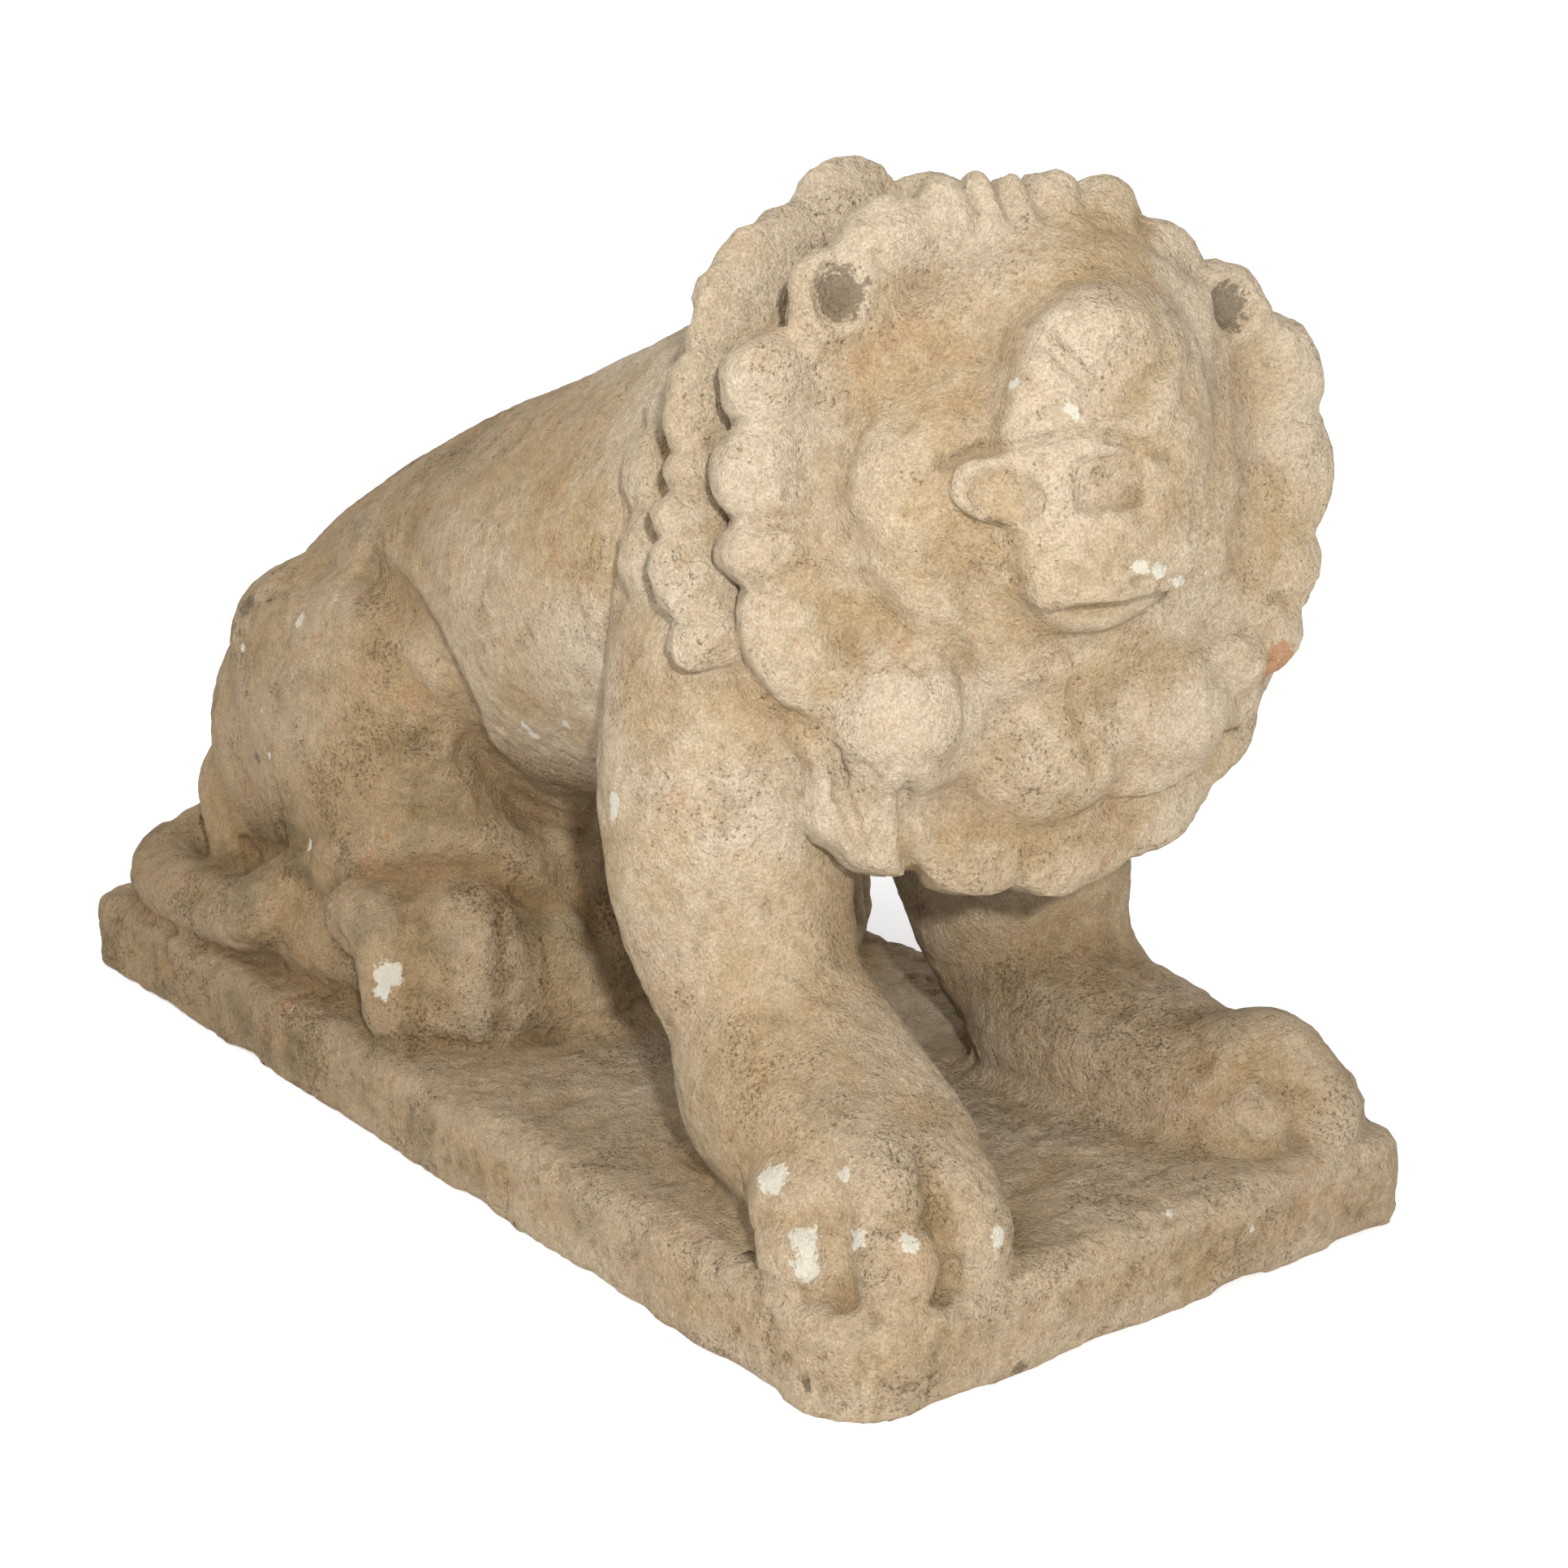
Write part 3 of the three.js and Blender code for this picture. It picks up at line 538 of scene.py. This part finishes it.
def face(block):
    """A broad dome in the ring of locks, worn almost smooth."""
    ball(block, on_face(-3, -6, -16), (146, 136, 70), FACE, 16)
    ahead = FACE[:, 2]
    for rows in (((-112, 96, 10), (-129, 62, 15), (-134, 17, 17), (-129, -20, 16), (-108, -66, 12)),
                 ((92, 98, 9), (112, 66, 13), (120, 8, 15), (114, -45, 12)),
                 ((-84, 100, 9), (-42, 113, 11), (0, 116, 11), (42, 112, 11), (76, 98, 9))):
        along(block, [(*on_face(u, v, 30), r) for u, v, r in rows], ahead, 3.5, 14)
    for u, v, a, b in ((-125, 95, 15, 18), (99, 87, 18, 15)):  # ears, worn to hollows
        ball(block, on_face(u, v, 16), (a + 8, b + 7, 15), FACE, 8)
        ball(block, on_face(u, v, 32), (a + 1, b + 1, 16), FACE, 4, cut=True)
    ball(block, on_face(6, 66, 24), (70, 60, 52), FACE, 30)  # forehead
    for u in (-64, 58):  # eyes
        ball(block, on_face(u, 80, 66), (36, 22, 18), FACE, 22, cut=True)
    muzzle(block)
    for u, v, a, b, thick in ((-88, -118, 44, 46, 40), (-12, -143, 54, 42, 32), (62, -122, 46, 40, 30)):
        ball(block, on_face(u, v, 12), (a, b, thick), FACE, 6)
    ball(block, on_face(105, -103, 20), (18, 18, 18), FACE, 6)
    along(block, [(-83, -401, 372, 5), (-71, -397, 345, 7), (-72, -396, 322, 7), (-76, -390, 305, 6)],
          ahead, 4, 6)
    along(block, [(-15, -417, 345, 4), (-6, -416, 318, 6), (-1, -419, 298, 5)], ahead, 3, 6)
    # creases between the broad locks of the ruff
    along(block, [(-98, -381, 296, 4), (-93, -373, 277, 5), (-93, -375, 262, 5), (-80, -366, 238, 5)],
          FRONT_RIGHT, 6, 3)
    along(block, [(-128, -358, 316, 4), (-124, -359, 292, 5), (-122, -365, 277, 5),
                  (-116, -369, 256, 5)],
          FRONT_RIGHT, 6, 3)


def carve():
    block = Block((-240, -530, -30), (240, 520, 680), STEP)
    slab(block)
    body(block)
    hind_leg(block, -1)
    hind_leg(block, 1)
    tail(block)
    fore_legs(block)
    paw(block, (-126, -315, 108), (-143, -388, 88), (55, 46),
        ((-190, -414, 25), (-165, -449, 28), (-116, -452, 26)))
    limb(block, [(-132, -322, 128, 54), (-142, -372, 106, 46), (-150, -415, 88, 34)], blend=20)
    limb(block, [(-112, -322, 128, 50), (-104, -380, 102, 42), (-104, -425, 84, 28)], blend=20)
    for x, y, z, r in ((-186, -394, 92, 20), (-160, -424, 96, 24), (-122, -426, 92, 22)):
        ball(block, (x, y, z), (r, r, r), blend=14)
    along(block, [(-210, -398, 88, 4), (-188, -432, 98, 5), (-160, -460, 98, 5), (-141, -462, 92, 4)],
          FRONT_RIGHT, 2.5, 6)
    along(block, [(-176, -412, 122, 4), (-187, -434, 98, 7), (-192, -446, 62, 7)], FRONT_RIGHT, 3, 7)
    along(block, [(-134, -440, 116, 4), (-143, -466, 92, 7), (-150, -478, 60, 7)], FRONT_RIGHT, 3.5, 7)
    paw(block, (148, -270, 86), (156, -372, 72), (52, 42),
        ((128, -430, 25), (166, -448, 26), (188, -438, 22)))
    limb(block, [(112, -280, 86, 50), (116, -340, 74, 44), (124, -400, 66, 36)], blend=22)
    along(block, [(112, -405, 80, 5), (125, -422, 100, 6), (142, -415, 110, 4)], FRONT_RIGHT, 2.5, 6)
    mane(block)
    face(block)
    block.field = np.maximum(block.field, -block.axes[2][None, None, :])
    return block


# The skin

def skin(block):
    """One point in each cell that the surface crosses, and a quad on each crossed edge."""
    d = block.field
    n = np.array(d.shape)
    inside = d < 0
    corners = list(np.ndindex(2, 2, 2))
    count = np.zeros(n - 1, np.int8)
    for c in corners:
        count += inside[tuple(slice(o, n[a] - 1 + o) for a, o in enumerate(c))]
    mixed = (count > 0) & (count < 8)
    cells = np.argwhere(mixed)
    number = np.full(n - 1, -1, np.int64)
    number[mixed] = np.arange(len(cells))
    value = {c: d[tuple((cells + c).T)] for c in corners}
    total, hits = np.zeros((len(cells), 3)), np.zeros(len(cells))
    for a in corners:
        for axis in range(3):
            if a[axis]:
                continue
            b = tuple(1 if i == axis else v for i, v in enumerate(a))
            va, vb = value[a], value[b]
            crossed = (va < 0) != (vb < 0)
            t = np.where(crossed, va / np.where(crossed, va - vb, 1), 0)
            total += (np.array(a, float) + np.eye(3)[axis] * t[:, None]) * crossed[:, None]
            hits += crossed
    points = block.low + (cells + total / hits[:, None]) * block.step
    quads = []
    for axis in range(3):
        one, two = (axis + 1) % 3, (axis + 2) % 3
        low = tuple(slice(0, -1) if i == axis else slice(None) for i in range(3))
        high = tuple(slice(1, None) if i == axis else slice(None) for i in range(3))
        edge = np.argwhere(inside[low] != inside[high])
        edge = edge[(edge[:, one] > 0) & (edge[:, two] > 0)
                    & (edge[:, one] < n[one] - 1) & (edge[:, two] < n[two] - 1)]
        out = inside[low][tuple(edge.T)]
        e1, e2 = np.eye(3, dtype=int)[one], np.eye(3, dtype=int)[two]
        q = np.stack([number[tuple((edge - s).T)] for s in (e1 + e2, e2, 0 * e1, e1)], 1)
        quads.append(np.where(out[:, None], q, q[:, ::-1]))
    return points, np.vstack(quads)


def weather(block, p):
    """Moves the skin in and out: slow waves, lumps, and pits that grow coarser low down."""
    normal = block.slope(p)
    full = block.at(block.fullness(9), p)
    coarse = 1 - 0.75 * step_up(p[:, 2], 45, 120)
    wave = noise(p, 52, 1) * 1.2 + noise(p, 21, 2) * 0.9 + noise(p, 8, 3) * (0.5 + 1.1 * coarse)
    pits = -np.maximum(noise(p, 7.5, 4) - 0.22, 0) * (3 + 4.5 * coarse)
    chips = -np.maximum(noise(p, 24, 5) + 1.6 * (0.47 - full) - 0.28, 0) * 7
    normal[:, 2] *= step_up(p[:, 2], 2, 12)  # the underside stays flat, its edge only wears sideways
    return p + normal * (wave + pits + chips)[:, None]


def drop_crumbs(mesh):
    """Removes the loose specks that thinning leaves."""
    bm = bmesh.new()
    bm.from_mesh(mesh)
    crumbs = []
    for first in bm.faces:
        if first.tag:
            continue
        first.tag = True
        island = [first]
        for face in island:
            for near in (f for e in face.edges for f in e.link_faces if not f.tag):
                near.tag = True
                island.append(near)
        if len(island) < CRUMB:
            crumbs += island
    bmesh.ops.delete(bm, geom=crumbs, context="FACES")
    bm.to_mesh(mesh)
    bm.free()
    mesh.validate()


def make_mesh(block):
    points, quads = skin(block)
    points = weather(block, points)
    mesh = bpy.data.meshes.new("stone_skin")
    mesh.from_pydata((points * MM).tolist(), [], quads.tolist())
    lion = bpy.data.objects.new("stone_lion", mesh)
    bpy.context.scene.collection.objects.link(lion)
    ratio = TRIANGLES / (2 * len(quads))
    if ratio < 1:
        thin = lion.modifiers.new("thin", "DECIMATE")
        thin.ratio = ratio
        bpy.context.view_layer.objects.active = lion
        bpy.ops.object.modifier_apply(modifier="thin")
    drop_crumbs(lion.data)
    lion.data.shade_smooth()
    return lion


# Marks on the stone: (x, y, z, radius) of each, in mm
MARKS = {
    "chip": ((-196, -402, 105, 9), (-203, -428, 90, 8), (-206, -434, 74, 8), (-180, -429, 115, 5),
             (-185, -451, 89, 6), (-169, -469, 91, 6), (-117, -477, 83, 5), (-202, 5, 113, 10),
             (-203, 5, 98, 7), (-163, 145, 309, 6), (-186, 211, 288, 4), (-195, 178, 255, 4),
             (-198, 176, 221, 3), (-144, -82, 282, 4), (-146, -86, 272, 4), (-146, -130, 291, 4),
             (-197, -254, 278, 5), (-198, -254, 268, 5), (-173, 147, 154, 5), (-171, 224, 125, 5),
             (-74, -434, 500, 4), (-61, -457, 492, 4), (-58, -459, 489, 3), (-33, -476, 415, 4),
             (-20, -478, 411, 5), (-6, -479, 408, 4), (16, -471, 57, 3), (73, -481, 35, 3)),
    "stain": ((*on_face(-125, 95, 22), 15), (*on_face(99, 87, 22), 15), (-214, -443, 17, 4),
              (-178, 222, 312, 9), (-98, -480, 4, 5), (-200, 199, 217, 5)),
    "rust": ((114, -445, 340, 13),),
}


def mark(lion, block):
    """Writes what the colours follow to the mesh: hollows, which drive the painted shade in recesses
    and the paler worn edges, grime and single marks.
    """
    mesh = lion.data
    p = np.empty(len(mesh.vertices) * 3)
    mesh.vertices.foreach_get("co", p)
    p = p.reshape(-1, 3) / MM
    near, far = block.at(block.fullness(8), p), block.at(block.fullness(24), p)
    x, y, z = p.T
    low = 1 - step_up(z, 60, 330)
    rear = step_up(y, -170, 60)
    # painted light: the top of the slab gets less painted shade and less grime, so it is painted
    # lighter in place of light falling on it
    painted_light_slab_top = step_up(z, 40, 54) * (1 - step_up(z, 66, 90))  # top of the slab, kept lighter
    values = {
        # hollow: how enclosed each point is; the material paints shade into high values
        "hollow": np.clip(0.5 + (near - 0.5) * 1.6 + (far - 0.5) * 1.2 - 0.22 * painted_light_slab_top, 0, 1),
        "grime": np.clip(0.55 * rear + 0.5 * low - 0.12 * painted_light_slab_top + noise(p, 90, 11) * 0.35, 0, 1),
    }
    for name, spots in MARKS.items():
        closest = np.full(len(p), 9.0)
        for *at, r in spots:
            on = p[np.argmin(((p - at) ** 2).sum(1))]
            closest = np.minimum(closest, np.sqrt(((p - on) ** 2).sum(1)) / r)
        values[name] = closest
    for name, v in values.items():
        mesh.attributes.new(name, "FLOAT", "POINT").data.foreach_set("value", v.astype(np.float32))


# The stone's look

class Nodes:
    """Short calls for the nodes of one material."""

    def __init__(self, material):
        self.tree = material.node_tree
        self.shader = self.tree.nodes["Principled BSDF"]

    def put(self, socket, value):
        if isinstance(value, bpy.types.NodeSocket):
            self.tree.links.new(value, socket)
        else:
            socket.default_value = value

    def attribute(self, name):
        node = self.tree.nodes.new("ShaderNodeAttribute")
        node.attribute_name = name
        return node.outputs["Fac"]

    def noise(self, where, scale, detail=2.0, rough=0.5):
        node = self.tree.nodes.new("ShaderNodeTexNoise")
        self.put(node.inputs["Vector"], where)
        node.inputs["Scale"].default_value = scale
        node.inputs["Detail"].default_value = detail
        node.inputs["Roughness"].default_value = rough
        return node.outputs["Fac"]

    def cells(self, where, scale):
        node = self.tree.nodes.new("ShaderNodeTexVoronoi")
        self.put(node.inputs["Vector"], where)
        node.inputs["Scale"].default_value = scale
        return node.outputs["Distance"]

    def math(self, what, *values):
        node = self.tree.nodes.new("ShaderNodeMath")
        node.operation = what
        for socket, value in zip(node.inputs, values):
            self.put(socket, value)
        return node.outputs[0]

    def ramp(self, value, low, high, to_low=0.0, to_high=1.0):
        node = self.tree.nodes.new("ShaderNodeMapRange")
        node.interpolation_type = "SMOOTHSTEP"
        self.put(node.inputs["Value"], value)
        for name, v in (("From Min", low), ("From Max", high), ("To Min", to_low), ("To Max", to_high)):
            node.inputs[name].default_value = v
        return node.outputs["Result"]

    def mix(self, share, a, b, how="MIX"):
        node = self.tree.nodes.new("ShaderNodeMix")
        node.data_type = "RGBA"
        node.blend_type = how
        self.put(node.inputs["Factor"], share)
        self.put(node.inputs["A"], a if isinstance(a, bpy.types.NodeSocket) else (*a, 1))
        self.put(node.inputs["B"], b if isinstance(b, bpy.types.NodeSocket) else (*b, 1))
        return node.outputs["Result"]


def linear(r, g, b):
    """A colour of the lit stone as on a screen, 0 to 255, as what the stone itself reflects."""
    return tuple(LIT * ((c / 255 + 0.055) / 1.055) ** 2.4 for c in (r, g, b))


def stone_material():
    material = bpy.data.materials.new("weathered_stone")
    material.use_nodes = True
    n = Nodes(material)
    where = n.tree.nodes.new("ShaderNodeTexCoord").outputs["Object"]
    hollow, grime = n.attribute("hollow"), n.attribute("grime")

    buff, pale, brown = linear(208, 181, 140), linear(231, 213, 187), linear(150, 118, 78)
    grey, dark, rust = linear(178, 146, 104), linear(88, 72, 50), linear(208, 150, 104)
    moss, cream, ash = linear(134, 118, 82), linear(246, 238, 218), linear(112, 98, 80)

    broad = n.noise(where, 11, 5, 0.65)
    clean = n.math("MULTIPLY_ADD", grime, -0.75, 1.0)
    colour = n.mix(n.math("MULTIPLY", n.ramp(broad, 0.36, 0.64), clean), buff, pale)
    colour = n.mix(n.math("MULTIPLY", grime, 0.6), colour, grey)
    cloud = n.ramp(n.noise(where, 30, 6, 0.7), 0.48, 0.7, 0, 0.34)
    colour = n.mix(cloud, colour, brown)
    blush = n.ramp(n.noise(where, 24, 5, 0.65), 0.56, 0.74, 0, 0.42)
    colour = n.mix(blush, colour, rust)
    green = n.math("MULTIPLY", n.ramp(n.noise(where, 19, 6, 0.7), 0.46, 0.66, 0, 0.75), grime)
    colour = n.mix(green, colour, moss)
    # painted shade: hollows and recesses are darkened towards brown, more so where the stone is grimy
    hollow_shade = n.math("MULTIPLY", n.ramp(hollow, 0.55, 0.95, 0, 0.6),
                  n.math("MULTIPLY_ADD", grime, 0.7, 0.3))
    colour = n.mix(hollow_shade, colour, brown)
    worn = n.math("MULTIPLY", n.ramp(hollow, 0.5, 0.22, 0, 0.5), clean)
    colour = n.mix(worn, colour, pale)

    # grain at three sizes, then dark and rusty specks
    fine, middling = n.noise(where, 640, 3, 0.75), n.noise(where, 150, 5, 0.75)
    colour = n.mix(1.0, colour, n.mix(n.ramp(fine, 0.3, 0.68), (0.78, 0.76, 0.72), (1.16, 1.15, 1.14)),
                   "MULTIPLY")
    colour = n.mix(1.0, colour, n.mix(n.ramp(middling, 0.34, 0.64), (0.88, 0.865, 0.83),
                                      (1.07, 1.07, 1.06)), "MULTIPLY")
    patch = n.ramp(n.noise(where, 15, 4, 0.65), 0.44, 0.62, -0.05, 0.06)
    spot = n.math("ADD", n.noise(where, 400, 4, 0.75),
                  n.math("ADD", n.math("MULTIPLY", grime, 0.07), patch))
    colour = n.mix(n.ramp(spot, 0.61, 0.69, 0, 0.7), colour, dark)
    fleck = n.ramp(n.noise(where, 210, 3, 0.6), 0.66, 0.72, 0, 0.5)
    colour = n.mix(fleck, colour, rust)

    # single marks, their outlines broken by noise
    ragged = n.math("MULTIPLY", n.noise(where, 190, 4, 0.7), 2.2)
    for name, tone, share in (("chip", cream, 0.95), ("stain", ash, 0.66), ("rust", rust, 0.75)):
        edge = n.math("ADD", n.attribute(name), ragged)
        colour = n.mix(n.ramp(edge, 1.95, 2.15, share, 0), colour, tone)

    n.put(n.shader.inputs["Base Color"], colour)
    n.put(n.shader.inputs["Roughness"], n.ramp(middling, 0.3, 0.7, 0.98, 0.84))
    n.shader.inputs["Specular IOR Level"].default_value = 0.25

    height = n.math("ADD", n.math("MULTIPLY", n.noise(where, 480, 4, 0.7), 0.75),
                    n.noise(where, 170, 5, 0.7))
    height = n.math("ADD", height, n.math("MULTIPLY", n.noise(where, 70, 3, 0.6), 1.1))
    pit = n.math("ADD", n.ramp(n.cells(where, 160), 0.05, 0.26, -0.4, 0),
                 n.ramp(n.cells(where, 330), 0.08, 0.3, -0.22, 0))
    height = n.math("ADD", height, n.math("MULTIPLY", pit, n.ramp(n.noise(where, 45, 2), 0.45, 0.6)))
    bump = n.tree.nodes.new("ShaderNodeBump")
    bump.inputs["Strength"].default_value = 1.0
    bump.inputs["Distance"].default_value = RELIEF
    n.put(bump.inputs["Height"], height)
    n.put(n.shader.inputs["Normal"], bump.outputs["Normal"])
    return material


# The studio

def lamp(name, at, to, size, power):
    data = bpy.data.lights.new(name, "AREA")
    data.shape, data.size, data.energy = "DISK", size, power
    o = bpy.data.objects.new(name, data)
    o.location = at
    o.rotation_euler = (Vector(to) - Vector(at)).to_track_quat("-Z", "Y").to_euler()
    bpy.context.scene.collection.objects.link(o)


def studio():
    scene = bpy.context.scene
    scene.view_settings.view_transform = "Standard"
    world = bpy.data.worlds.new("studio")
    world.use_nodes = True
    tree = world.node_tree
    height = tree.nodes.new("ShaderNodeSeparateXYZ")
    tree.links.new(tree.nodes.new("ShaderNodeTexCoord").outputs["Generated"], height.inputs[0])
    fade = tree.nodes.new("ShaderNodeMapRange")
    for name, v in (("From Min", 0.08), ("From Max", 0.4), ("To Min", 1.02), ("To Max", 0.54)):
        fade.inputs[name].default_value = v
    tree.links.new(height.outputs["Z"], fade.inputs["Value"])
    tree.links.new(fade.outputs["Result"], tree.nodes["Background"].inputs["Strength"])
    tree.nodes["Background"].inputs["Color"].default_value = (1, 1, 1, 1)
    scene.world = world

    bpy.ops.mesh.primitive_circle_add(vertices=96, radius=FLOOR_RADIUS, fill_type="NGON")
    floor = bpy.context.object
    floor.name = "studio_floor"
    material = bpy.data.materials.new("studio_white")
    material.use_nodes = True
    shader = material.node_tree.nodes["Principled BSDF"]
    shader.inputs["Base Color"].default_value = (0.8, 0.8, 0.8, 1)
    shader.inputs["Emission Color"].default_value = (1, 1, 1, 1)
    nodes, links = material.node_tree.nodes, material.node_tree.links
    far = nodes.new("ShaderNodeVectorMath")
    far.operation = "LENGTH"
    links.new(nodes.new("ShaderNodeTexCoord").outputs["Object"], far.inputs[0])
    glow = nodes.new("ShaderNodeMapRange")
    for name, v in (("From Min", 0.6), ("From Max", 3.5), ("To Min", 0.3), ("To Max", 0.72)):
        glow.inputs[name].default_value = v
    links.new(far.outputs["Value"], glow.inputs["Value"])
    links.new(glow.outputs["Result"], shader.inputs["Emission Strength"])
    shader.inputs["Roughness"].default_value = 1
    shader.inputs["Specular IOR Level"].default_value = 0
    floor.data.materials.append(material)

    for row in LAMPS:
        lamp(*row)

    data = bpy.data.cameras.new("camera")
    data.lens, data.sensor_width = CAMERA["lens"], CAMERA["film"]
    camera = bpy.data.objects.new("camera", data)
    forward = Vector(CAMERA["forward"]).normalized()
    camera.location = CAMERA["at"]
    camera.rotation_euler = forward.to_track_quat("-Z", "Y").to_euler()
    scene.collection.objects.link(camera)
    scene.camera = camera


block = carve()
lion = make_mesh(block)
mark(lion, block)
lion.data.materials.append(stone_material())
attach(lion, "root")
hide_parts("lion_statue")
studio()
